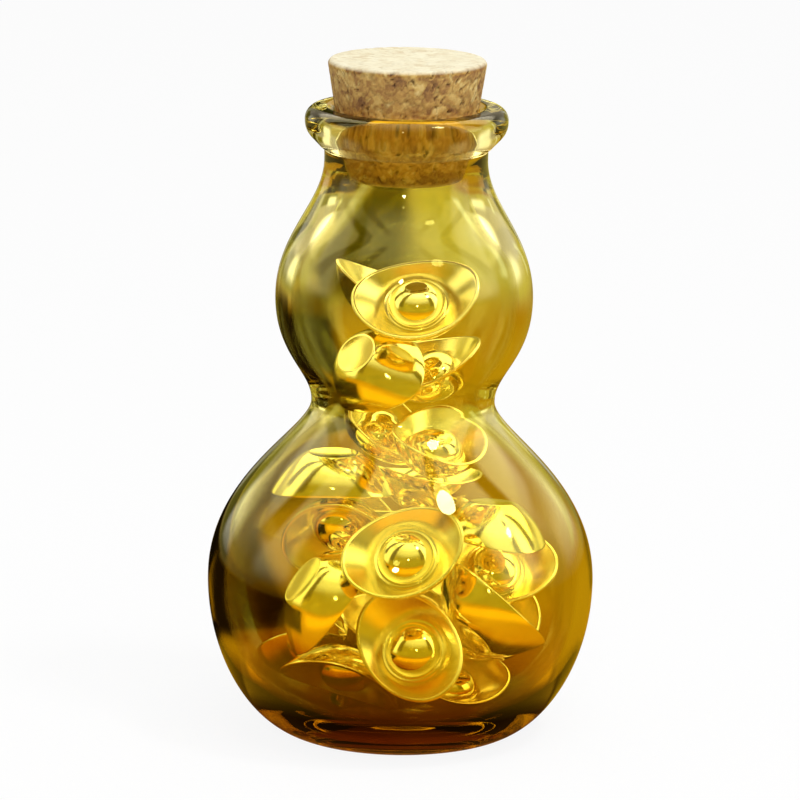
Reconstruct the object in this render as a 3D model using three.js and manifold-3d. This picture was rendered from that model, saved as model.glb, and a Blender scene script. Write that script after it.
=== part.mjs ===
// Gourd-shaped glass jar with a tapered cork stopper, filled with loose boat-shaped ingots.
// Millimetres, +Z up, front towards -Y. The origin is the centre of the jar's foot.
import * as THREE from "three";
import { mergeVertices } from "three/addons/utils/BufferGeometryUtils.js";
import Module from "manifold-3d";

const wasm = await Module();
wasm.setup();

// Jar. At each of these heights the wall stands upright, and it keeps that direction for
// a length below and above.
const BELLY = { r: 20.5, z: 16.7, below: 9.4, above: 10.8 };
const WAIST = { r: 9.7, z: 35.9, below: 3.5, above: 3.3 };
const HEAD = { r: 13.6, z: 47.1, below: 6.3, above: 6.7 };
const NECK = { r: 8.6, z: 61.8, below: 4.9 };
const WALL = 1.6; // glass thickness from the belly to the head
const FOOT = { r: 10.2, spread: 4.8, ring: 2.6, punt: 0.8 }; // flat ring round a shallow hollow
const FLOOR = { r: 9.0, z: 2.6, spread: 4.6 }; // inside of the thick base
const LIP = { r: 10.7, z: 66.0, top: 67.4, crown: 9.4, chamfer: 0.5 };
const CREASE = { r: 9.0, z: 62.9 }; // where the lip's cone leaves the neck
const JAR_SIDES = 40;
const OUTSIDE_STEPS = { bowl: 6, belly: 7, waist: 5, head: 6, lip: 8 };
const INSIDE_STEPS = { bowl: 5, belly: 6, waist: 4, head: 5 };

// Stopper
const CORK = { top: 8.4, bottom: 6.35, z: 59.6, length: 12.8, chamfer: 0.35 };
const CORK_FIT = 0.15; // clearance in the neck
const CORK_SIDES = 40;

// Ingot: half its width and length, the height of its rim amidships, how far the ends rise above
// that, the thickness of the rim, and the height of the point it turns about
const INGOT = { wide: 5.0, long: 6.6, rim: 3.6, rise: 1.0, edge: 0.35, middle: 2.2 };
// Its hull, from the flat base up to the rim, and its dish, as shares of those four
const HULL = [
  { wide: 0.42, long: 0.4, rim: 0, rise: 0 },
  { wide: 0.78, long: 0.68, rim: 0.32, rise: 0.2 },
  { wide: 0.95, long: 0.88, rim: 0.68, rise: 0.6 },
  { wide: 1, long: 1, rim: 1, rise: 1 },
];
const DISH = { wide: 0.76, long: 0.7, rim: 0.78, rise: 0.45 };
const DOME = { r: 3.0, z: 2.1, bulge: 2.4, steps: 3 };
const INGOT_SIDES = 20;

// Heap
const GAP = 0.3; // between ingots, and between an ingot and the glass
const REACH = 4.5; // how far an ingot may give way to those put in before it
const GRID = REACH / 8; // step of the search for room
const DROPS = [0.8, 0.2, 0.05]; // ever finer steps down
const PASSES = 3;
// Behind the front: heights, rings and degrees to try, with a twist in degrees per millimetre of
// height. The ways that an ingot leans and slopes go round faster than its place does.
const FILL = { top: 46, lift: 0.6, rings: [12, 9, 6, 3, 0], sector: 24, twist: 17 };
const LEAN = { sizes: [0.3, 0.7, 1.1], up: 0.8, x: 3, y: 5, slope: 7 };
const SAME_POINT = 1e-3;

// The ingots at the front of the heap and three that hold them up: the place of each, the way
// its dome faces and the way its length runs
const FRONT = [
  { at: [1.5, -10.6, 11.6], faces: [-0.27, -0.84, 0.47], along: [0.68, -0.2, -0.7] },
  { at: [0.6, -10.4, 22.6], faces: [-0.2, -0.75, 0.63], along: [0.92, 0, 0.37] },
  { at: [1.3, -4.6, 48.2], faces: [-0.1, -0.72, 0.68], along: [0.97, 0, 0.22] },
  { at: [4.0, -2.6, 32.0], faces: [0.3, -0.31, 0.91], along: [0.35, 0.9, 0.2] },
  { at: [-5.0, -7.0, 7.2], faces: [-0.3, -0.6, -0.74], along: [0.92, 0, -0.36] },
  { at: [-8.0, -7.6, 15.2], faces: [0.7, 0.3, -0.64], along: [0.62, 0.25, 0.74] },
  { at: [8.4, -8.4, 15.5], faces: [0.55, 0.55, 0.62], along: [0.74, 0, -0.67] },
  { at: [-6.4, -2.4, 21.2], faces: [-0.2, -0.8, -0.55], along: [0.75, -0.4, 0.5] },
  { at: [5.5, -5.4, 5.8], faces: [0.3, -0.3, 0.9], along: [0.8, 0.6, 0] },
  { at: [9.0, 0, 11.5], faces: [0.3, -0.5, 0.8], along: [0.6, 0.8, 0] },
  { at: [9.5, 0.5, 17.5], faces: [0.1, -0.6, 0.75], along: [1, 0, 0.1] },
  { at: [-7.2, -1.0, 27.4], faces: [0, 0.1, -1], along: [1, 0, 0] },
  { at: [9.5, -3.6, 23.6], faces: [0, -0.1, -1], along: [0.5, -0.85, 0] },
  { at: [-2.6, 1.5, 32.5], faces: [0.55, -0.4, 0.73], along: [0.8, 0, -0.6] },
  { at: [-2.6, -1.0, 40.4], faces: [0.6, 0.45, -0.66], along: [0.58, -0.81, 0] },
  { at: [-3.0, 2.5, 46.3], faces: [0.45, -0.2, 0.87], along: [0.85, 0.3, -0.37] },
  { at: [1.6, 3.0, 20.5], faces: [0, 0.1, 1], along: [1, 0.2, 0] },
  { at: [2.5, 5.5, 25.5], faces: [0.1, 0.1, 1], along: [0.8, 0.5, 0] },
];

const GLASS = new THREE.MeshStandardMaterial({
  color: 0xd9a514,
  roughness: 0.05,
  metalness: 0,
  transparent: true,
  opacity: 0.4,
});
const BARK = new THREE.MeshStandardMaterial({ color: 0xc39a63, roughness: 0.9, metalness: 0 });
const GOLD = new THREE.MeshStandardMaterial({ color: 0xe6b422, roughness: 0.18, metalness: 1 });

const { degToRad, mapLinear } = THREE.MathUtils;
const point = (r, z) => new THREE.Vector2(r, z);

function mesh(name, geometry, material) {
  const made = new THREE.Mesh(geometry, material);
  made.name = name;
  return made;
}

// A profile of radius and height turned round the Z axis
function turned(profile, sides) {
  return new THREE.LatheGeometry(profile, sides).rotateX(Math.PI / 2);
}

// Curve of the wall from one upright height to the next
function swell(from, to, steps) {
  return new THREE.CubicBezierCurve(
    point(from.r, from.z),
    point(from.r, from.z + from.above),
    point(to.r, to.z - to.below),
    point(to.r, to.z),
  ).getPoints(steps);
}

// Curve from the edge of a flat floor up to the belly
function bowl(floor, belly, steps) {
  return new THREE.CubicBezierCurve(
    point(floor.r, floor.z),
    point(floor.r + floor.spread, floor.z),
    point(belly.r, belly.z - belly.below),
    point(belly.r, belly.z),
  ).getPoints(steps);
}

const inward = (station) => ({ ...station, r: station.r - WALL });
const corkRadius = (z) => mapLinear(z, CORK.z, CORK.z + CORK.length, CORK.bottom, CORK.top);

// From the middle of the floor inside up to the mouth
function insideProfile() {
  const seat = { r: CORK.bottom + CORK_FIT, z: CORK.z, below: NECK.below };
  const mouth = LIP.top - LIP.chamfer;
  return [
    point(0, FLOOR.z),
    ...bowl(FLOOR, inward(BELLY), INSIDE_STEPS.bowl),
    ...swell(inward(BELLY), inward(WAIST), INSIDE_STEPS.belly).slice(1),
    ...swell(inward(WAIST), inward(HEAD), INSIDE_STEPS.waist).slice(1),
    ...swell(inward(HEAD), seat, INSIDE_STEPS.head).slice(1),
    point(corkRadius(mouth) + CORK_FIT, mouth),
    point(corkRadius(LIP.top) + CORK_FIT + LIP.chamfer, LIP.top),
  ];
}

// From under the middle of the base up the outside to the top of the lip
function outsideProfile() {
  const hollow = FOOT.r - FOOT.ring;
  const lip = new THREE.CatmullRomCurve3([
    new THREE.Vector3(CREASE.r, CREASE.z, 0),
    new THREE.Vector3((CREASE.r + LIP.r) / 2, (CREASE.z + LIP.z) / 2, 0),
    new THREE.Vector3(LIP.r, LIP.z, 0),
    new THREE.Vector3(LIP.crown, LIP.top, 0),
  ]).getPoints(OUTSIDE_STEPS.lip);
  return [
    point(0, FOOT.punt),
    point(hollow - FOOT.punt, FOOT.punt),
    point(hollow, 0),
    ...bowl({ ...FOOT, z: 0 }, BELLY, OUTSIDE_STEPS.bowl),
    ...swell(BELLY, WAIST, OUTSIDE_STEPS.belly).slice(1),
    ...swell(WAIST, HEAD, OUTSIDE_STEPS.waist).slice(1),
    ...swell(HEAD, NECK, OUTSIDE_STEPS.head).slice(1),
    ...lip.map(({ x, y }) => point(x, y)),
  ];
}

function corkProfile() {
  const top = CORK.z + CORK.length;
  const [low, high] = [CORK.z + CORK.chamfer, top - CORK.chamfer];
  return [
    point(0, CORK.z),
    point(CORK.bottom - CORK.chamfer, CORK.z),
    point(corkRadius(low), low),
    point(corkRadius(high), high),
    point(CORK.top - CORK.chamfer, top),
    point(0, top),
  ];
}

// Rings of an ingot, from the middle of its base up the hull, over the rim and across the dish to
// the top of the dome: half width, half length, height amidships and rise at the ends
function ingotRings() {
  const { wide, long, rim, rise, edge } = INGOT;
  const dome = [];
  for (let step = 0; step <= DOME.steps; step++) {
    const angle = (step / DOME.steps) * (Math.PI / 2);
    const r = DOME.r * Math.cos(angle);
    dome.push({ wide: r, long: r, z: DOME.z + DOME.bulge * Math.sin(angle), rise: 0 });
  }
  const ring = (share) => ({
    wide: share.wide * wide,
    long: share.long * long,
    z: share.rim * rim,
    rise: share.rise * rise,
  });
  return [
    { wide: 0, long: 0, z: 0, rise: 0 },
    ...HULL.map(ring),
    { wide: wide - edge, long: long - edge, z: rim + edge / 4, rise },
    ring(DISH),
    ...dome,
  ];
}

// A round lathe of the rings, drawn out to their lengths, with the ends lifted like a boat's
function ingotGeometry() {
  const rings = ingotRings();
  const profile = rings.map(({ wide, z }) => point(wide, z));
  const geometry = turned(profile, INGOT_SIDES);
  const position = geometry.attributes.position;
  for (let i = 0; i < position.count; i++) {
    const { wide, long, z, rise } = rings[i % rings.length];
    const along = wide > 0 ? position.getX(i) / wide : 0;
    position.setX(i, along * long);
    position.setZ(i, z + rise * along * along - INGOT.middle);
  }
  return geometry;
}

function solidOf(geometry) {
  const bare = geometry.clone();
  bare.deleteAttribute("normal");
  bare.deleteAttribute("uv");
  const merged = mergeVertices(bare, SAME_POINT);
  return new wasm.Manifold(
    new wasm.Mesh({
      numProp: 3,
      vertProperties: merged.attributes.position.array,
      triVerts: new Uint32Array(merged.index.array),
    }),
  );
}

const inside = insideProfile();

// Radius of the room in the jar at a height, 0 below its floor and above its mouth
function roomRadius(z) {
  for (let i = 2; i < inside.length; i++) {
    const [low, high] = [inside[i - 1], inside[i]];
    if (z >= low.y && z <= high.y) return mapLinear(z, low.y, high.y, low.x, high.x);
  }
  return 0;
}

const ingot = ingotGeometry();
// An ingot with half the gap round it
const skin = solidOf(
  ingot
    .clone()
    .scale(1 + GAP / 2 / INGOT.long, 1 + GAP / 2 / INGOT.wide, 1 + GAP / 2 / INGOT.middle),
);

const DOWN = new THREE.Vector3(0, 0, -1);
const SLIPS = [0, 45, 90, 135, 180, 225, 270, 315]
  .map(degToRad)
  .map((angle) => new THREE.Vector3(Math.cos(angle), Math.sin(angle), -1).normalize());

// Steps aside from a place that is taken, the shortest first
const ASIDE = [];
for (let x = -REACH; x <= REACH; x += GRID) {
  for (let y = -REACH; y <= REACH; y += GRID) {
    for (let z = -REACH; z <= REACH; z += GRID) ASIDE.push(new THREE.Vector3(x, y, z));
  }
}
ASIDE.sort((a, b) => a.length() - b.length());

function makeIngot({ faces, along }, index, ways) {
  const up = new THREE.Vector3(...faces).normalize();
  const side = new THREE.Vector3().crossVectors(up, new THREE.Vector3(...along)).normalize();
  const length = new THREE.Vector3().crossVectors(side, up);
  const turn = new THREE.Matrix4().makeBasis(length, side, up);
  const made = mesh(`ingot_${String(index + 1).padStart(2, "0")}`, ingot, GOLD);
  made.quaternion.setFromRotationMatrix(turn);
  const posed = ingot.clone().applyMatrix4(turn);
  posed.computeBoundingBox();
  return { made, posed, ways, shell: skin.transform(turn.elements) };
}

// Fixes an ingot at a place and notes the room it takes there
function put(item, place) {
  item.made.position.copy(place);
  item.box = item.posed.boundingBox.clone().translate(place).expandByScalar(GAP);
  item.solid = item.shell.translate(place.toArray());
}

// Whether an ingot at a place keeps its gap to the glass and to the heap
function isFree(item, place, heap) {
  const corners = item.posed.attributes.position;
  for (let i = 0; i < corners.count; i++) {
    const reach = Math.hypot(corners.getX(i) + place.x, corners.getY(i) + place.y);
    if (reach > roomRadius(corners.getZ(i) + place.z) - GAP) return false;
  }
  const box = item.posed.boundingBox.clone().translate(place);
  const near = heap.filter((other) => other !== item && other.box.intersectsBox(box));
  const solid = item.shell.translate(place.toArray());
  return near.every((other) => solid.intersect(other.solid).isEmpty());
}

// Lets an ingot down until the glass or the heap stops it
function settle(item, heap) {
  const place = item.made.position.clone();
  for (const drop of DROPS) {
    const next = () =>
      item.ways
        .map((way) => place.clone().addScaledVector(way, drop))
        .find((lower) => isFree(item, lower, heap));
    for (let lower = next(); lower; lower = next()) place.copy(lower);
  }
  put(item, place);
}

// Ways an ingot may lie behind the front ones, ring by ring from the floor up
function* hiddenSpots() {
  for (let z = FLOOR.z + INGOT.rim; z < FILL.top; z += FILL.lift) {
    for (const ring of FILL.rings) {
      for (let turn = 0; turn < 360; turn += FILL.sector) {
        const angle = degToRad(turn + FILL.twist * z);
        const at = [ring * Math.cos(angle), ring * Math.sin(angle), z];
        const along = [-Math.sin(angle), Math.cos(angle), Math.sin(LEAN.slope * angle)];
        const [x, y] = [Math.cos(LEAN.x * angle), Math.sin(LEAN.y * angle)];
        for (const size of LEAN.sizes) yield { at, faces: [size * x, size * y, LEAN.up], along };
      }
    }
  }
}

// Puts the front ingots in, fills the room left behind them, then lets the heap come to rest
function pour() {
  const heap = [];
  FRONT.forEach((spot, index) => {
    const item = makeIngot(spot, index, [DOWN]);
    const asked = new THREE.Vector3(...spot.at);
    const place = ASIDE.map((step) => asked.clone().add(step)).find((near) => isFree(item, near, heap));
    if (!place) throw new Error(`${item.made.name} has no room`);
    put(item, place);
    heap.push(item);
  });
  for (const spot of hiddenSpots()) {
    const item = makeIngot(spot, heap.length, [DOWN, ...SLIPS]);
    const place = new THREE.Vector3(...spot.at);
    if (!isFree(item, place, heap)) continue;
    put(item, place);
    heap.push(item);
  }
  for (let pass = 0; pass < PASSES; pass++) {
    heap.sort((a, b) => a.made.position.z - b.made.position.z);
    heap.forEach((item) => settle(item, heap));
  }
  return heap.map(({ made }) => made);
}

const jar = new THREE.Group();
jar.add(mesh("glass_jar", turned([...outsideProfile(), ...inside.toReversed()], JAR_SIDES), GLASS));
jar.add(mesh("cork_stopper", turned(corkProfile(), CORK_SIDES), BARK));
jar.add(...pour());

export default jar;
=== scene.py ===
import math

import bpy
import numpy as np
from mathutils import Matrix, Vector


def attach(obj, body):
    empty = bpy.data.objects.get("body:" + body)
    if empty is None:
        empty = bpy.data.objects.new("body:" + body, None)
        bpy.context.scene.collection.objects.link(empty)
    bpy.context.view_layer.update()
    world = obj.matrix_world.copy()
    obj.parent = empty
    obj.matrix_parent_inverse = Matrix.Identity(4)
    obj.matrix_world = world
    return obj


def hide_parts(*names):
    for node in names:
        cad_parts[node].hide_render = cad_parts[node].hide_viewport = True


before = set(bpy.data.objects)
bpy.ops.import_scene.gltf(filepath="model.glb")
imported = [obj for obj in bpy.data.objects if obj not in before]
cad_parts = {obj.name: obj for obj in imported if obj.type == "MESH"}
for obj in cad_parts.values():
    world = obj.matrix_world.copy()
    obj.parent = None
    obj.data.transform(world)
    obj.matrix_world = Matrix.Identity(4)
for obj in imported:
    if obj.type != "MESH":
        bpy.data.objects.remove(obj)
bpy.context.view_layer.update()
mm = 0.001
print("frame loaded:", len(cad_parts), "nodes")


# Cubic curve on four control points: (1-t)^3 a + 3(1-t)^2 t b + 3(1-t) t^2 c + t^3 d
def bezier(a, b, c, d, steps=60):
    a, b, c, d = np.array([a, b, c, d], float)
    t = np.linspace(0, 1, steps)[:, None]
    return (1 - t) ** 3 * a + 3 * (1 - t) ** 2 * t * b + 3 * (1 - t) * t**2 * c + t**3 * d


# Soft step from 0 to 1: x^2 (3 - 2x)
def ease(x):
    x = np.clip(x, 0, 1)
    return x * x * (3 - 2 * x)


bellReach = 3  # how many widths of a bell count on each side
acrossAxis = np.array([-1, 1])  # past the axis, radius changes sign and height doesn't


# A chain of points laid out at an even step, then averaged with its neighbours under a bell
# curve, which rounds every corner by about the bell's width. Past each end the chain goes on
# mirrored through the axis, so that it crosses its pole level.
def softChain(points, step, bell, mirror):
    length = np.r_[0, np.cumsum(np.linalg.norm(np.diff(points, axis=0), axis=1))]
    at = np.linspace(0, length[-1], int(length[-1] / step))
    even = np.stack([np.interp(at, length, column) for column in points.T], 1)
    reach = int(bellReach * bell / step)
    weights = np.exp(-0.5 * (np.arange(-reach, reach + 1) * step / bell) ** 2)
    weights /= weights.sum()
    before, after = even[reach:0:-1] * mirror, even[-2 : -reach - 2 : -1] * mirror
    padded = np.vstack([before, even, after])
    return np.stack([np.convolve(column, weights, "valid") for column in padded.T], 1)


# A fine chain with points taken out: one is due after each full length, and sooner where it turns
def thinChain(chain, length, turn):
    step = np.diff(chain, axis=0)
    heading = np.unwrap(np.arctan2(step[:, 1], step[:, 0]))
    share = np.linalg.norm(step, axis=1) / length + np.abs(np.gradient(heading)) / turn
    due = np.r_[0, np.cumsum(share)]
    at = np.linspace(0, due[-1], int(due[-1]))
    return np.stack([np.interp(at, due, column) for column in chain.T], 1)


# Profile of radius and height carried round the axis: x = r cos a, y = r sin a, z = height
def turnedGrid(profile, sides):
    a = np.linspace(0, 2 * np.pi, sides, endpoint=False)
    r, z = profile[:, :1], profile[:, 1:]
    return np.stack([r * np.cos(a), r * np.sin(a), z + 0 * a], 2)


# Faces between neighbouring rows of a grid whose columns go round, row by row
def ringFaces(rows, sides):
    ring = np.arange(sides)
    onward = (ring + 1) % sides
    low = np.arange(rows - 1)[:, None] * sides
    high = low + sides
    return np.stack([low + ring, low + onward, high + onward, high + ring], 2)


# Layer of a grid as one list, with each pole row cut to a single value
def polesOnce(layer):
    return np.concatenate([layer[0, :1], layer[1:-1].reshape(-1, *layer.shape[2:]), layer[-1, :1]])


# Closed mesh of a grid whose columns go round: the first and last row are poles of one point,
# with fans of triangles, and four-sided faces lie between the other rows
def meshFromGrid(name, grid, attributes):
    rows, sides = grid.shape[0] - 2, grid.shape[1]
    points = polesOnce(grid)
    ring = np.arange(sides)
    onward = (ring + 1) % sides
    quads = 1 + ringFaces(rows, sides).reshape(-1, 4)
    last = 1 + (rows - 1) * sides
    bottom = np.stack([np.zeros(sides, int), 1 + onward, 1 + ring], 1)
    top = np.stack([np.full(sides, len(points) - 1), last + ring, last + onward], 1)
    corners = np.concatenate([bottom.ravel(), quads.ravel(), top.ravel()])
    sizes = np.r_[np.full(sides, 3), np.full(len(quads), 4), np.full(sides, 3)]
    mesh = bpy.data.meshes.new(name)
    mesh.vertices.add(len(points))
    mesh.vertices.foreach_set("co", points.astype(np.float32).ravel())
    mesh.loops.add(len(corners))
    mesh.loops.foreach_set("vertex_index", corners.astype(np.int32))
    mesh.polygons.add(len(sizes))
    mesh.polygons.foreach_set("loop_start", np.r_[0, np.cumsum(sizes)[:-1]].astype(np.int32))
    mesh.polygons.foreach_set("use_smooth", np.ones(len(sizes), bool))
    mesh.update(calc_edges=True)
    for key, layer in attributes.items():
        values = mesh.attributes.new(key, "FLOAT", "POINT").data
        values.foreach_set("value", polesOnce(layer).astype(np.float32))
    piece = bpy.data.objects.new(name, mesh)
    bpy.context.scene.collection.objects.link(piece)
    return piece


# A finished piece gets its material, rides on its body and stands in for its solid
def dress(piece, node, body, material):
    piece.data.materials.append(material)
    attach(piece, body)
    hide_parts(node)


# One shader node: sockets are linked and plain values are set
def addNode(tree, kind, inputs, **settings):
    node = tree.nodes.new(kind)
    for key, value in settings.items():
        setattr(node, key, value)
    for key, value in inputs.items():
        if isinstance(value, bpy.types.NodeSocket):
            tree.links.new(value, node.inputs[key])
        else:
            node.inputs[key].default_value = value
    return node


# New material, with its tree, its shader and the place on the piece
def newMaterial(name):
    material = bpy.data.materials.new(name)
    material.use_nodes = True
    tree = material.node_tree
    place = addNode(tree, "ShaderNodeTexCoord", {}).outputs["Object"]
    return material, tree, tree.nodes["Principled BSDF"], place


def addNoise(tree, place, scale, detail, roughness=0.5):
    inputs = {"Vector": place, "Scale": scale, "Detail": detail, "Roughness": roughness}
    return addNode(tree, "ShaderNodeTexNoise", inputs).outputs["Fac"]


# Value that the mesh holds at each point
def addLayer(tree, key):
    return addNode(tree, "ShaderNodeAttribute", {}, attribute_name=key).outputs["Fac"]


# Value carried from one span to another
def addRange(tree, value, span, result):
    inputs = {"Value": value, "From Min": span[0], "From Max": span[1]}
    inputs |= {"To Min": result[0], "To Max": result[1]}
    return addNode(tree, "ShaderNodeMapRange", inputs).outputs["Result"]


# Colour from a row of stops, each a value and its colour
def addRamp(tree, value, stops):
    node = addNode(tree, "ShaderNodeValToRGB", {"Fac": value})
    elements = node.color_ramp.elements
    while len(elements) < len(stops):
        elements.new(0.5)  # its place is set below
    for element, (at, colour) in zip(elements, stops):
        element.position = at
        element.color = (*colour, 1)
    return node.outputs["Color"]


def addMix(tree, share, a, b):
    inputs = {0: share, 6: a, 7: b}  # a mix node takes its colours at 6 and 7
    return addNode(tree, "ShaderNodeMix", inputs, data_type="RGBA").outputs[2]


def addMath(tree, operation, a, b):
    return addNode(tree, "ShaderNodeMath", {0: a, 1: b}, operation=operation).outputs[0]


def addBump(tree, height, strength, distance):
    inputs = {"Height": height, "Strength": strength, "Distance": distance}
    return addNode(tree, "ShaderNodeBump", inputs).outputs["Normal"]


midNoise = (0.3, 0.7)  # where most values of a noise lie

# Glass jar, in mm. Stations are heights where the wall stands upright: radius, height, and how far
# the wall keeps that direction below and above.
jar = {
    "belly": (20.5, 16.7, 9.4, 10.8),
    "waist": (9.7, 35.9, 3.5, 3.3),
    "head": (13.6, 47.1, 6.3, 6.7),
    "neck": (8.6, 61.8, 4.9, 0.0),
    "wall": 1.6,
    "foot": (10.2, 4.8),  # radius of the flat ring, and how far it runs out level
    "hollow": (7.6, 0.8),  # radius and depth under the base
    "floor": (9.0, 2.6, 4.6),  # inside of the base: radius, height, level run
    "collar": (8.62, 62.9),  # top of the neck, under the lip
    "ledge": (9.02, 63.15),  # lower edge of the lip
    "lip": (10.7, 66.0),
    "crown": (9.4, 67.4),
    # control points of the lip's two curves, counted from ledge, lip, lip and crown
    "lipPull": [(0.9, 1.1), (0.0, -1.5), (0.0, 0.8), (0.7, 0.0)],
    "lipSteps": 20,
    "mouthChamfer": 0.5,
    "sides": 200,
    "step": 0.06,  # between points of the section before it is thinned
    "bell": 0.15,  # how far corners are rounded
    "rowLength": 0.85,  # longest gap between rows
    "rowTurn": 0.07,  # turn that is worth a row, in radians
    "wave": 0.05,  # unevenness of moulded glass
    "waves": [(0.25, 3, 7.0, 0.0), (0.25, 5, -4.0, 1.0)],  # share, turns, rise and start of each
}


# Wall from one station to the next: a cubic curve that leaves and arrives upright
def swell(lower, upper, inset=0.0):
    (r0, z0, _, above), (r1, z1, below, _) = lower, upper
    r0, r1 = r0 - inset, r1 - inset
    return bezier((r0, z0), (r0, z0 + above), (r1, z1 - below), (r1, z1))


# Cubic curve that leaves the edge of a floor level and arrives at the belly upright
def bowl(r, z, run, inset=0.0):
    r1, z1, below, _ = jar["belly"]
    return bezier((r, z), (r + run, z), (r1 - inset, z1 - below), (r1 - inset, z1))


# Whole section of the glass: under the base, up the outside, over the lip on two cubic curves and
# down the inside
def jarProfile():
    belly, waist, head, neck = (jar[key] for key in ("belly", "waist", "head", "neck"))
    hollowRadius, hollowDepth = jar["hollow"]
    footRadius, footRun = jar["foot"]
    under = [(0, hollowDepth), (hollowRadius - hollowDepth, hollowDepth), (hollowRadius, 0)]
    outside = [bowl(footRadius, 0, footRun), swell(belly, waist), swell(waist, head), swell(head, neck)]
    ledge, lip, crown = (np.array(jar[key]) for key in ("ledge", "lip", "crown"))
    pull, steps = jar["lipPull"], jar["lipSteps"]
    roll = bezier(ledge, ledge + pull[0], lip + pull[1], lip, steps)
    shoulder = bezier(lip, lip + pull[2], crown + pull[3], crown, steps)
    wall, chamfer, fit = jar["wall"], jar["mouthChamfer"], cork["fit"]
    top = jar["crown"][1]
    mouth = top - chamfer
    bore = [(corkRadius(top) + fit + chamfer, top), (corkRadius(mouth) + fit, mouth)]
    seat = (cork["bottom"] + fit, cork["low"], neck[2], 0.0)
    floorRadius, floorHeight, floorRun = jar["floor"]
    inside = [
        swell((head[0] - wall, *head[1:]), seat),
        swell(waist, head, wall),
        swell(belly, waist, wall),
        bowl(floorRadius, floorHeight, floorRun, wall),
    ]
    over = [[jar["collar"]], roll, shoulder, bore]
    down = [part[::-1] for part in inside]
    chain = np.vstack([under, *outside, *over, *down, [(0, floorHeight)]])
    rounded = softChain(chain, jar["step"], jar["bell"], acrossAxis)
    return thinChain(rounded, jar["rowLength"], jar["rowTurn"])


# The section carried round, with its radius drawn in by a small share: a half, plus a part of each
# of two sine waves that go round and up the wall
def makeJar():
    profile = jarProfile()
    grid = turnedGrid(profile, jar["sides"])
    a = np.linspace(0, 2 * np.pi, jar["sides"], endpoint=False)
    z = profile[:, 1:]
    waves = (share * np.sin(turns * a + z / rise + start) for share, turns, rise, start in jar["waves"])
    drawnIn = jar["wave"] * sum(waves, 0.5) / jar["belly"][0]
    grid[:, :, :2] *= 1 - drawnIn[:, :, None]
    return meshFromGrid("glassJar", grid * mm, {})


# Amber glass: colour of its skin by share of the height, its smears and ripples, and what its
# depth lets through. A noise has a scale and a detail.
amber = {
    "tint": [
        (0.0, (0.20, 0.036, 0.004)),
        (0.055, (0.38, 0.13, 0.012)),
        (0.095, (0.58, 0.32, 0.03)),
        (0.14, (0.84, 0.71, 0.18)),
        (0.20, (0.91, 0.87, 0.38)),
        (0.53, (0.925, 0.91, 0.46)),
        (0.72, (0.93, 0.92, 0.55)),
        (0.9, (0.945, 0.935, 0.65)),
        (0.96, (0.985, 0.98, 0.86)),
    ],
    "cloudNoise": (70.0, 2.0),
    "cloudHeight": 0.002,  # how far the colours wander up and down
    "smearNoise": (260.0, 3.0),
    "smear": (0.004, 0.02),  # least and most roughness
    "rippleNoise": (110.0, 1.0),
    "ripple": (0.05, 0.0012),  # strength and depth
    "ior": 1.5,
    "gloss": (0.88, 0.85, 0.36, 1),  # colour of its reflections, seen square on
    "depthColour": (0.95, 0.91, 0.5, 1),
    "depthDensity": 160.0,
}


# Clear glass, pale at the lip and deeper towards the base, that takes blue and green away where
# it is thick
def amberGlass():
    material, tree, shader, place = newMaterial("amberGlass")
    height = addNode(tree, "ShaderNodeSeparateXYZ", {"Vector": place}).outputs["Z"]
    shift = (-amber["cloudHeight"], amber["cloudHeight"])
    cloud = addRange(tree, addNoise(tree, place, *amber["cloudNoise"]), midNoise, shift)
    level = addRange(tree, addMath(tree, "ADD", height, cloud), (0, jar["crown"][1] * mm), (0, 1))
    tree.links.new(addRamp(tree, level, amber["tint"]), shader.inputs["Base Color"])
    smears = addRange(tree, addNoise(tree, place, *amber["smearNoise"]), midNoise, amber["smear"])
    tree.links.new(smears, shader.inputs["Roughness"])
    ripple = addBump(tree, addNoise(tree, place, *amber["rippleNoise"]), *amber["ripple"])
    tree.links.new(ripple, shader.inputs["Normal"])
    shader.inputs["IOR"].default_value = amber["ior"]
    shader.inputs["Specular Tint"].default_value = amber["gloss"]
    shader.inputs["Transmission Weight"].default_value = 1.0
    depth = {"Color": amber["depthColour"], "Density": amber["depthDensity"]}
    body = addNode(tree, "ShaderNodeVolumeAbsorption", depth).outputs["Volume"]
    tree.links.new(body, tree.nodes["Material Output"].inputs["Volume"])
    return material


# Cork, in mm: radii at its ends, height of its lower end, length and clearance in the neck. Then
# the sizes of its grains, how far their joins wander, and how deep joins and broken specks lie.
cork = {
    "bottom": 6.35,
    "top": 8.4,
    "low": 59.6,
    "length": 12.8,
    "chamfer": 0.35,
    "fit": 0.15,
    "sides": 384,
    "step": 0.16,
    "bell": 0.12,
    "grain": 1.5,
    "crumb": 0.7,
    "speck": 0.42,
    "crumbShift": 40,  # crumbs and specks are cut from other parts of space
    "speckShift": 80,
    "crumbShare": 0.45,
    "ragged": 0.36,
    "bends": [(1.7, 1.0), (4.3, 0.5), (9.1, 0.25)],  # pitch and share of each wave
    "bendStarts": (0.3, 1.9, 4.4),
    "joinWidth": 0.13,
    "joinDepth": 0.09,
    "faintJoin": 0.35,  # depth of the faintest join, as a share
    "pitShare": 0.08,
    "pitDepth": 0.22,
    "endDepth": 0.25,  # joins and pits are shallower on the cut ends
    "cellWeights": (127.1, 311.7, 74.7),  # these only have to be uneven
    "cellStretch": 43758.5453,
    "seedSalts": (1.3, 4.1, 7.7),
    "grainSalt": 11.9,
}


# Radius at a height, on the straight line from the lower end to the upper one
def corkRadius(z):
    return np.interp(z, [cork["low"], cork["low"] + cork["length"]], [cork["bottom"], cork["top"]])


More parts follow.
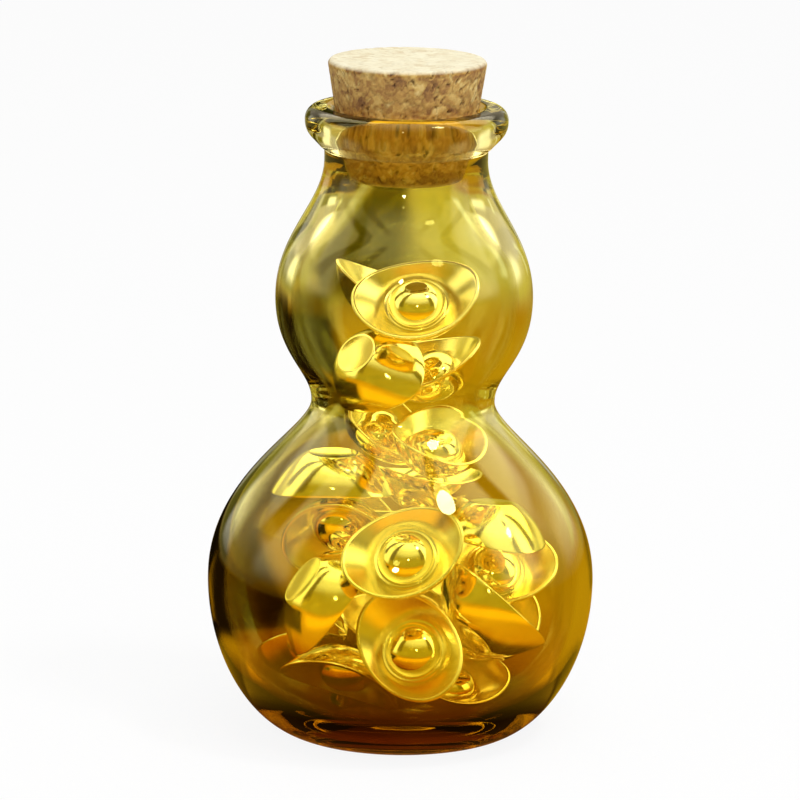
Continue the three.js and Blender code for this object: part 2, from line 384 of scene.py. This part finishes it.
# Whole numbers in three columns to one number from 0 to 1 that looks random but never changes: the
# sine of their weighted sum is stretched, and the part behind its point is kept
def scatter(cells, salt):
    mixed = np.sin(cells @ np.array(cork["cellWeights"]) + salt) * cork["cellStretch"]
    return mixed - np.floor(mixed)


# Packed grains: space is cut into cubes with one shifted seed in each, and a point belongs to the
# nearest seed. Gives how much nearer that seed is than the next one, and a number for the grain.
def grains(points, size):
    cell = np.floor(points / size)
    best = np.full(len(points), np.inf)
    second = best.copy()
    grain = np.zeros(len(points))
    for offset in np.stack(np.meshgrid(*[[-1, 0, 1]] * 3), -1).reshape(-1, 3):
        home = cell + offset
        seed = (home + np.stack([scatter(home, salt) for salt in cork["seedSalts"]], 1)) * size
        distance = np.linalg.norm(points - seed, axis=1)
        nearer = distance < best
        second = np.where(nearer, best, np.minimum(second, distance))
        grain = np.where(nearer, scatter(home, cork["grainSalt"]), grain)
        best = np.where(nearer, distance, best)
    return second - best, grain


# Points shifted by three sine waves of shrinking length, each along the next axis round, so that
# straight joins turn ragged
def wander(points, reach):
    for pitch, share in cork["bends"]:
        points = points + reach * share * np.sin(points[:, [1, 2, 0]] * pitch + cork["bendStarts"])
    return points


# Tapered plug whose skin is pushed in, square to itself, along the joins of its grains, by a bell
# curve of the gap between two grains, and where a speck has broken out
def makeCork():
    foot, top, chamfer = cork["low"], cork["low"] + cork["length"], cork["chamfer"]
    low, high = foot + chamfer, top - chamfer
    corners = [(0, foot), (cork["bottom"] - chamfer, foot), (corkRadius(low), low)]
    corners += [(corkRadius(high), high), (cork["top"] - chamfer, top), (0, top)]
    profile = softChain(np.array(corners, float), cork["step"], cork["bell"], acrossAxis)
    grid = turnedGrid(profile, cork["sides"])
    along = np.gradient(profile, axis=0)
    along /= np.linalg.norm(along, axis=1)[:, None]
    run, rise = along[:, :1], along[:, 1:]
    flat = ease(np.abs(run)) + 0 * grid[:, :, 0]  # 1 on the cut ends
    shape = grid.shape[:2]
    ragged = wander(grid.reshape(-1, 3), cork["ragged"])
    gap, grain = (layer.reshape(shape) for layer in grains(ragged, cork["grain"]))
    crumb = grains(ragged + cork["crumbShift"], cork["crumb"])[1].reshape(shape)
    specks = grains(ragged + cork["speckShift"], cork["speck"])
    speckGap, speck = (layer.reshape(shape) for layer in specks)
    tone = (1 - cork["crumbShare"]) * grain + cork["crumbShare"] * crumb
    strength = cork["faintJoin"] + (1 - cork["faintJoin"]) * crumb
    join = np.exp(-((gap / cork["joinWidth"]) ** 2)) * strength
    pit = (speck > 1 - cork["pitShare"]) * np.clip(speckGap / cork["joinWidth"], 0, 1)
    depth = (cork["joinDepth"] * join + cork["pitDepth"] * pit) * (1 - (1 - cork["endDepth"]) * flat)
    depth[[0, -1]] = depth[[0, -1]].mean(1, keepdims=True)
    a = np.linspace(0, 2 * np.pi, cork["sides"], endpoint=False)
    outward = np.stack([rise * np.cos(a), rise * np.sin(a), -run + 0 * a], 2)
    layers = {"tone": tone, "join": join, "pit": pit, "flat": flat}
    return meshFromGrid("corkStopper", (grid - outward * depth[:, :, None]) * mm, layers)


# Pressed cork: browns of its grains on the side and on the cut ends, and of joins and holes. A
# noise has a scale, a detail and a roughness.
bark = {
    "side": [
        (0.0, (0.13, 0.042, 0.005)),
        (0.25, (0.30, 0.135, 0.018)),
        (0.5, (0.46, 0.255, 0.042)),
        (0.75, (0.58, 0.375, 0.09)),
        (1.0, (0.70, 0.53, 0.20)),
    ],
    "end": [(0.0, (0.68, 0.57, 0.36)), (0.4, (0.79, 0.72, 0.51)), (1.0, (0.86, 0.81, 0.61))],
    "hole": (0.06, 0.02, 0.005, 1),
    "joinShade": 0.55,
    "holeShown": (0.85, 0.16),  # on the side and on the ends
    "mottleNoise": (1500.0, 4.0, 0.62),
    "mottle": 0.2,
    "poreNoise": (4200.0, 3.0, 0.6),
    "pore": (0.4, 0.00015),  # strength and depth
    "roughness": (0.78, 0.95),
}


# Grains of many browns with mottling in each, dark joins and broken specks, pale ends
def pressedCork():
    material, tree, shader, place = newMaterial("pressedCork")
    mottle = addNoise(tree, place, *bark["mottleNoise"])
    pores = addNoise(tree, place, *bark["poreNoise"])
    spread = addRange(tree, mottle, midNoise, (-bark["mottle"], bark["mottle"]))
    tone = addMath(tree, "ADD", addLayer(tree, "tone"), spread)
    flat = addLayer(tree, "flat")
    colour = addMix(tree, flat, addRamp(tree, tone, bark["side"]), addRamp(tree, tone, bark["end"]))
    join = addMath(tree, "MULTIPLY", addLayer(tree, "join"), bark["joinShade"])
    hole = addMath(tree, "MAXIMUM", join, addLayer(tree, "pit"))
    shown = addMath(tree, "MULTIPLY", hole, addRange(tree, flat, (0, 1), bark["holeShown"]))
    tree.links.new(addMix(tree, shown, colour, bark["hole"]), shader.inputs["Base Color"])
    tree.links.new(addRange(tree, pores, midNoise, bark["roughness"]), shader.inputs["Roughness"])
    tree.links.new(addBump(tree, pores, *bark["pore"]), shader.inputs["Normal"])
    return material


# Ingot in mm, a small boat: half width, half length, rim height amidships, lift of the ends, rim
# thickness and the height that it turns about. Hull and dish are shares of the first four.
ingot = {
    "wide": 5.0,
    "long": 6.6,
    "rim": 3.6,
    "rise": 1.0,
    "edge": 0.35,
    "edgeRise": 0.25,  # rise of the rim's inner side, as a share of its thickness
    "middle": 2.2,
    "hullCorners": [(0.42, 0.4, 0, 0), (0.78, 0.68, 0.32, 0.2), (0.95, 0.88, 0.68, 0.6), (1, 1, 1, 1)],
    "hullCurve": [(0.42, 0.4, 0, 0), (0.66, 0.6, 0.13, 0.09), (0.96, 0.86, 0.62, 0.5), (1, 1, 1, 1)],
    "sunk": 0.2,  # depth of the shallow bowl in the underside
    "sunkSteps": 8,
    "dish": (0.76, 0.7, 0.78, 0.45),
    "domeRadius": 3.0,
    "domeLow": 2.1,
    "domeBulge": 2.4,
    "fillet": [(0.34, 0.07), (0.17, 0.07), (0.0, 0.0)],  # thin ring at the dome's foot: out and up
    "hullPolish": 0.75,  # the dome has 1 and the dish 0
    "cornerSides": 20,
    "cornerDomeSteps": 3,
    "sides": 96,
    "domeSteps": 24,
    "step": 0.13,
    "bell": 0.085,
}


# The four measures that hull and dish are shares of
def ingotSize():
    return np.array([ingot["wide"], ingot["long"], ingot["rim"], ingot["rise"]])


# Rows of half width, half length, height and lift of the ends: under the base, up the given hull,
# over the rim, across the dish and the given ring, and over the dome on a quarter of a circle.
# The base is sunk by depth (1 - s^2), where s goes from 0 in its middle to 1 at its edge.
def ingotRings(hull, ring, domeSteps, depth=0.0, sunkSteps=1):
    s = np.linspace(0, 1, sunkSteps, endpoint=False)[:, None]
    base = s * hull[0] + depth * (1 - s * s) * (0, 0, 1, 0)
    edge = ingot["edge"]
    rim = hull[-1] + (-edge, -edge, edge * ingot["edgeRise"], 0)
    dish = np.array(ingot["dish"]) * ingotSize()
    a = np.linspace(0, np.pi / 2, domeSteps + 1)
    r = ingot["domeRadius"] * np.cos(a)
    dome = np.stack([r, r, ingot["domeLow"] + ingot["domeBulge"] * np.sin(a), 0 * a], 1)
    return np.vstack([base, hull, rim, dish, *ring, dome])


# Boat form of the rings: x = length cos a, y = width sin a, z = height + lift cos^2 a, counted from
# the height that the boat turns about
def boatGrid(rings, sides):
    a = np.linspace(0, 2 * np.pi, sides, endpoint=False)
    wide, long, z, rise = (rings[:, i : i + 1] for i in range(4))
    height = z + rise * np.cos(a) ** 2 - ingot["middle"]
    return np.stack([long * np.cos(a), wide * np.sin(a), height], 2)


# Place and turn of an ingot from the corners of its solid: their spread is longest along the boat,
# then across it, then upright, and the heap of corners leans to one side of upright
def poseOf(node, corners):
    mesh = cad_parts[node].data
    flatList = np.empty(len(mesh.vertices) * 3, np.float32)
    mesh.vertices.foreach_get("co", flatList)
    found = np.unique(flatList.reshape(-1, 3), axis=0).astype(float) / mm
    centred = found - found.mean(0)
    axes = np.linalg.eigh(centred.T @ centred)[1][:, ::-1]
    own = corners - corners.mean(0)
    upright = axes[:, 2] * np.sign(np.sum((centred @ axes[:, 2]) ** 3) * np.sum(own[:, 2] ** 3))
    turn = np.stack([axes[:, 0], np.cross(upright, axes[:, 0]), upright], 1)
    return turn, found.mean(0) - turn @ corners.mean(0)


# One fine boat, whose hull is a cubic curve, set down once for each solid at that solid's pose
def makeIngots(material):
    size = ingotSize()
    coarse = ingotRings(np.array(ingot["hullCorners"]) * size, [], ingot["cornerDomeSteps"])
    corners = polesOnce(boatGrid(coarse, ingot["cornerSides"]))
    foot, low = ingot["domeRadius"], ingot["domeLow"]
    ring = [(foot + out, foot + out, low + up, 0) for out, up in ingot["fillet"]]
    hull = bezier(*(np.array(ingot["hullCurve"]) * size))
    fine = ingotRings(hull, ring, ingot["domeSteps"], ingot["sunk"], ingot["sunkSteps"])
    mirror = np.array([-1, -1, 1, 1])  # past a pole, width and length change sign
    fine = softChain(fine, ingot["step"], ingot["bell"], mirror)
    grid = boatGrid(fine, ingot["sides"])
    # share of polish along the section: hull, then the satin dish, then the dome
    at = np.arange(len(fine))
    rimRow = np.argmax(fine[:, 0])
    domeRow = rimRow + np.argmax(fine[rimRow:, 0] < foot)
    finish = np.where(at <= rimRow, ingot["hullPolish"], np.where(at < domeRow, 0, 1))
    polish = finish[:, None] + 0.0 * grid[:, :, 0]
    for node in sorted(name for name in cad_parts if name.startswith("ingot_")):
        turn, place = poseOf(node, corners)
        piece = meshFromGrid("goldIngot" + node[-2:], (grid @ turn.T + place) * mm, {"polish": polish})
        dress(piece, node, "jar", material)


# Gold: its two tones, and roughness of satin and of polished faces. A noise has a scale and a detail.
gold = {
    "tones": [(0.3, (0.98, 0.86, 0.47)), (0.7, (1.0, 0.92, 0.58))],
    "satin": (0.20, 0.27),
    "bright": (0.03, 0.06),
    "cloudNoise": (420.0, 3.0),
    "grainNoise": (5200.0, 2.0),
    "grain": (0.05, 0.0001),  # strength and depth
}


# Mirror-bright on the dome, softer on the hull and satin in the dish, with a fine grain
def polishedGold():
    material, tree, shader, place = newMaterial("polishedGold")
    cloud = addNoise(tree, place, *gold["cloudNoise"])
    tree.links.new(addRamp(tree, cloud, gold["tones"]), shader.inputs["Base Color"])
    satin, bright = (addRange(tree, cloud, midNoise, gold[key]) for key in ("satin", "bright"))
    finish = {0: addLayer(tree, "polish"), 2: satin, 3: bright}  # its values go in at 2 and 3
    roughness = addNode(tree, "ShaderNodeMix", finish, data_type="FLOAT").outputs[0]
    tree.links.new(roughness, shader.inputs["Roughness"])
    grain = addBump(tree, addNoise(tree, place, *gold["grainNoise"]), *gold["grain"])
    tree.links.new(grain, shader.inputs["Normal"])
    shader.inputs["Metallic"].default_value = 1.0
    return material


# Studio, in metres: a floor just under the jar's foot, an even fill light, and lamps that face the
# jar's middle
studio = {
    "floorHalf": 4.0,
    "floorHeight": -0.00005,
    "floorColour": (0.88, 0.88, 0.88, 1),
    "floorGlow": 0.9,  # share of plain white in the floor that is seen
    "white": (1, 1, 1, 1),
    "worldFill": 0.55,
    "aim": (0.0, 0.0, 0.035),
    # round lamps, name: place, width, brightness of the face, seen in gloss and glass
    "lamps": {
        "overhead": ((0.32, -0.24, 0.72), 0.13, 42.0, True),
        "frontLamp": ((-0.04, -0.80, 0.42), 0.06, 95.0, True),
        "softKey": ((0.15, -0.45, 0.80), 0.60, 3.2, False),
    },
}


# 1 for rays that come straight from the camera, off a gloss or through glass
def addBareView(tree):
    seen = addNode(tree, "ShaderNodeLightPath", {}).outputs
    bare = addMath(tree, "MAXIMUM", seen["Is Camera Ray"], seen["Is Glossy Ray"])
    return addMath(tree, "MAXIMUM", bare, seen["Is Transmission Ray"])


# Pale floor that shows nearly white and keeps a faint shadow
def paleFloor():
    material, tree, shader, _ = newMaterial("paleFloor")
    tree.nodes.remove(shader)
    matt = addNode(tree, "ShaderNodeBsdfDiffuse", {"Color": studio["floorColour"]}).outputs[0]
    glow = addNode(tree, "ShaderNodeEmission", {"Color": studio["white"], "Strength": 1.0}).outputs[0]
    share = addMath(tree, "MULTIPLY", addBareView(tree), studio["floorGlow"])
    mixed = addNode(tree, "ShaderNodeMixShader", {0: share, 1: matt, 2: glow}).outputs[0]
    tree.links.new(mixed, tree.nodes["Material Output"].inputs["Surface"])
    return material


# Stage piece that belongs to the room and not to the jar
def stagePiece(name, points, faces, material):
    mesh = bpy.data.meshes.new(name)
    mesh.from_pydata(points.tolist(), [], faces.tolist())
    mesh.materials.append(material)
    piece = bpy.data.objects.new(name, mesh)
    bpy.context.scene.collection.objects.link(piece)
    return piece


# Light tent round the jar, in metres, a paper floor under a dome, which only gloss and glass see.
# Directions are degrees to the right from straight behind, and heights degrees up, both from the
# jar's middle.
tent = {
    "radius": 1.3,
    "inner": 0.004,  # radius of the paper's first ring
    "height": -0.00002,  # the paper lies between the foot and the floor
    "rows": (64, 60),  # rings of the paper and the dome
    "sides": 480,
    # colour by height: painted light under the foot, where light through the glass gathers, painted
    # shadow round it, tan paper, paler paper, warm cloth
    "heights": [-78, -74, -70, -64, -50, -10, -5, 4, 12, 26, 90],
    "colours": [
        (0.28, 0.11, 0.02),
        (0.34, 0.14, 0.03),
        (0.12, 0.045, 0.006),
        (0.08, 0.026, 0.003),
        (0.47, 0.235, 0.004),
        (0.47, 0.235, 0.004),
        (0.56, 0.44, 0.12),
        (0.56, 0.46, 0.15),
        (0.75, 0.7, 0.45),
        (1.3, 1.25, 1.1),
        (1.3, 1.25, 1.1),
    ],
    # laid over that, painted lights and painted shade, name: direction, half width, lowest, highest,
    # softness, colour
    "panels": {
        "roof": (0, 200, 60, 120, 20, (2.6, 2.5, 2.4)),
        "backWall": (0, 62, 9, 50, 10, (0.7, 0.6, 0.42)),
        "backSky": (0, 80, 29, 66, 7, (3.2, 2.85, 2.3)),
        "frontWall": (180, 80, -20, 38, 22, (0.54, 0.43, 0.06)),
        "frontTable": (180, 95, -60, -1, 6, (0.85, 0.42, 0.012)),
        "frontGlow": (180, 60, -34, -10, 14, (1.45, 0.8, 0.03)),
        "leftWindow": (-94, 14, 4, 48, 10, (1.9, 1.8, 1.7)),
        "rightWindow": (100, 14, 4, 58, 10, (2.9, 2.8, 2.9)),
        "highLeft": (-60, 12, 30, 56, 10, (2.0, 1.9, 1.8)),
        "highRight": (60, 14, 30, 56, 10, (3.4, 3.3, 2.6)),
        "leftFlag": (-78, 7, 20, 76, 6, (0.2, 0.16, 0.03)),
        "nearLeftFlag": (-118, 8, 14, 76, 7, (0.22, 0.17, 0.03)),
        "rightFlag": (80, 6, 24, 74, 6, (0.25, 0.2, 0.04)),
        "nearRightFlag": (126, 8, 16, 76, 7, (0.25, 0.2, 0.04)),
        "rightBack": (24, 22, -7, 9, 6, (0.64, 0.53, 0.1)),
        "rightFloor": (44, 34, -63, -14, 8, (0.53, 0.285, 0.005)),
        "leftFloor": (-65, 48, -43, -9, 5, (0.012, 0.005, 0.001)),
        "leftWall": (-30, 22, -5, 12, 5, (0.28, 0.24, 0.03)),
        "leftBack": (-25, 18, -18, -7, 4, (0.012, 0.007, 0.001)),
        "leftGlow": (-42, 9, -1, 15, 8, (1.6, 1.5, 1.1)),
        "rightGlow": (46, 14, 1, 17, 11, (1.4, 1.32, 1.0)),
        "middleBack": (-4.5, 5, -8, 20, 3, (0.06, 0.052, 0.004)),
        "leftStreak": (-15, 3, -7, 24, 4, (0.6, 0.55, 0.3)),
        "rightStreak": (15, 2, -4, 14, 2, (1.0, 0.96, 0.7)),
    },
}


# Colour of the tent by direction and height: a scale of colours up the height, then panels laid
# over it in turn, each with a soft step half inside and half outside its edges
def tentColours(grid):
    x, y, z = np.moveaxis(grid - np.array(studio["aim"]), 2, 0)
    direction, height = np.degrees(np.arctan2(x, y)), np.degrees(np.arctan2(z, np.hypot(x, y)))
    scale = np.array(tent["colours"])
    colour = np.stack([np.interp(height, tent["heights"], channel) for channel in scale.T], 2)
    for middle, half, low, high, soft, shade in tent["panels"].values():
        away = np.abs((direction - middle + 180) % 360 - 180)
        mask = ease((half - away) / soft + 0.5)
        mask = mask * ease((height - low) / soft + 0.5) * ease((high - height) / soft + 0.5)
        colour += (np.array(shade) - colour) * mask[:, :, None]
    return colour


# Surface of a profile carried round the axis: the paper, with rings ever wider apart, and the dome
def makeTent():
    paperRows, domeRows = tent["rows"]
    paper = np.r_[0, np.geomspace(tent["inner"], tent["radius"], paperRows)]
    up = np.linspace(0, np.pi / 2, domeRows + 1)[1:]
    r = np.r_[paper, tent["radius"] * np.cos(up)]
    z = tent["height"] + np.r_[0 * paper, tent["radius"] * np.sin(up)]
    grid = turnedGrid(np.stack([r, z], 1), tent["sides"])
    faces = ringFaces(len(r), tent["sides"]).reshape(-1, 4)
    material, tree, shader, _ = newMaterial("lightTent")
    tree.nodes.remove(shader)
    colour = addNode(tree, "ShaderNodeAttribute", {}, attribute_name="glow").outputs["Color"]
    glow = addNode(tree, "ShaderNodeEmission", {"Color": colour, "Strength": 1.0}).outputs[0]
    tree.links.new(glow, tree.nodes["Material Output"].inputs["Surface"])
    material.cycles.emission_sampling = "NONE"
    piece = stagePiece("lightTent", grid.reshape(-1, 3), faces, material)
    colours = np.concatenate([tentColours(grid), np.ones((*grid.shape[:2], 1))], 2)
    values = piece.data.attributes.new("glow", "FLOAT_COLOR", "POINT").data
    values.foreach_set("color", colours.astype(np.float32).ravel())
    piece.visible_camera = False
    piece.visible_diffuse = False
    piece.visible_shadow = False


# Floor, tent, lamps and world. A lamp's power is pi times the area of its face times its brightness.
def makeStudio():
    half = studio["floorHalf"]
    corners = np.array([(-half, -half), (half, -half), (half, half), (-half, half)])
    corners = np.c_[corners, np.full(4, studio["floorHeight"])]
    stagePiece("floor", corners, np.arange(4)[None], paleFloor())
    makeTent()
    for name, (at, width, brightness, shown) in studio["lamps"].items():
        lamp = bpy.data.lights.new(name, "AREA")
        lamp.shape = "DISK"
        lamp.size = width
        face = math.pi * (width / 2) ** 2
        lamp.energy = math.pi * face * brightness
        holder = bpy.data.objects.new(name, lamp)
        holder.location = at
        toJar = Vector(studio["aim"]) - Vector(at)
        holder.rotation_euler = toJar.to_track_quat("-Z", "Y").to_euler()
        holder.visible_glossy = shown
        holder.visible_transmission = shown
        bpy.context.scene.collection.objects.link(holder)
    world = bpy.data.worlds.new("studioWorld")
    world.use_nodes = True
    tree = world.node_tree
    tree.nodes.clear()
    # an even fill for the jar, and plain white where the world itself is seen
    faint = {"Color": studio["white"], "Strength": studio["worldFill"]}
    fill = addNode(tree, "ShaderNodeBackground", faint).outputs[0]
    backdrop = {"Color": studio["white"], "Strength": 1.0}
    white = addNode(tree, "ShaderNodeBackground", backdrop).outputs[0]
    mixed = addNode(tree, "ShaderNodeMixShader", {0: addBareView(tree), 1: fill, 2: white}).outputs[0]
    addNode(tree, "ShaderNodeOutputWorld", {"Surface": mixed})
    bpy.context.scene.world = world


# Camera on a long lens, a little above the jar, in metres and degrees
camera = {
    "target": (-0.0003, 0.0, 0.0359),
    "distance": 0.65,
    "elevation": 12.4,
    "roll": 0.8,  # the photographed jar leans by this
    "pixelsPerMm": 9.455,
    "imageSide": 800,  # pixels
    "sensor": 36.0,  # mm
}


# Focal length is pixels per mm, times distance in mm, times sensor over picture width
def makeCamera():
    lens = bpy.data.cameras.new("camera")
    lens.sensor_width = camera["sensor"]
    lens.lens = camera["pixelsPerMm"] * camera["distance"] / mm * camera["sensor"] / camera["imageSide"]
    holder = bpy.data.objects.new("camera", lens)
    up = math.radians(camera["elevation"])
    back = Vector((0, -math.cos(up), math.sin(up)))
    holder.location = Vector(camera["target"]) + back * camera["distance"]
    turn = (-back).to_track_quat("-Z", "Y").to_matrix().to_4x4()
    holder.rotation_euler = (turn @ Matrix.Rotation(math.radians(camera["roll"]), 4, "Z")).to_euler()
    bpy.context.scene.collection.objects.link(holder)
    bpy.context.scene.camera = holder


makeCamera()
makeStudio()
print("camera and studio made")

dress(makeJar(), "glass_jar", "jar", amberGlass())
print("glass jar made")

dress(makeCork(), "cork_stopper", "stopper", pressedCork())
print("cork made")

makeIngots(polishedGold())
print("ingots made")

# light crosses many walls of glass on its way
cycles = bpy.context.scene.cycles
cycles.max_bounces = 24
cycles.transmission_bounces = 24
cycles.glossy_bounces = 8
bpy.context.scene.view_settings.view_transform = "Standard"
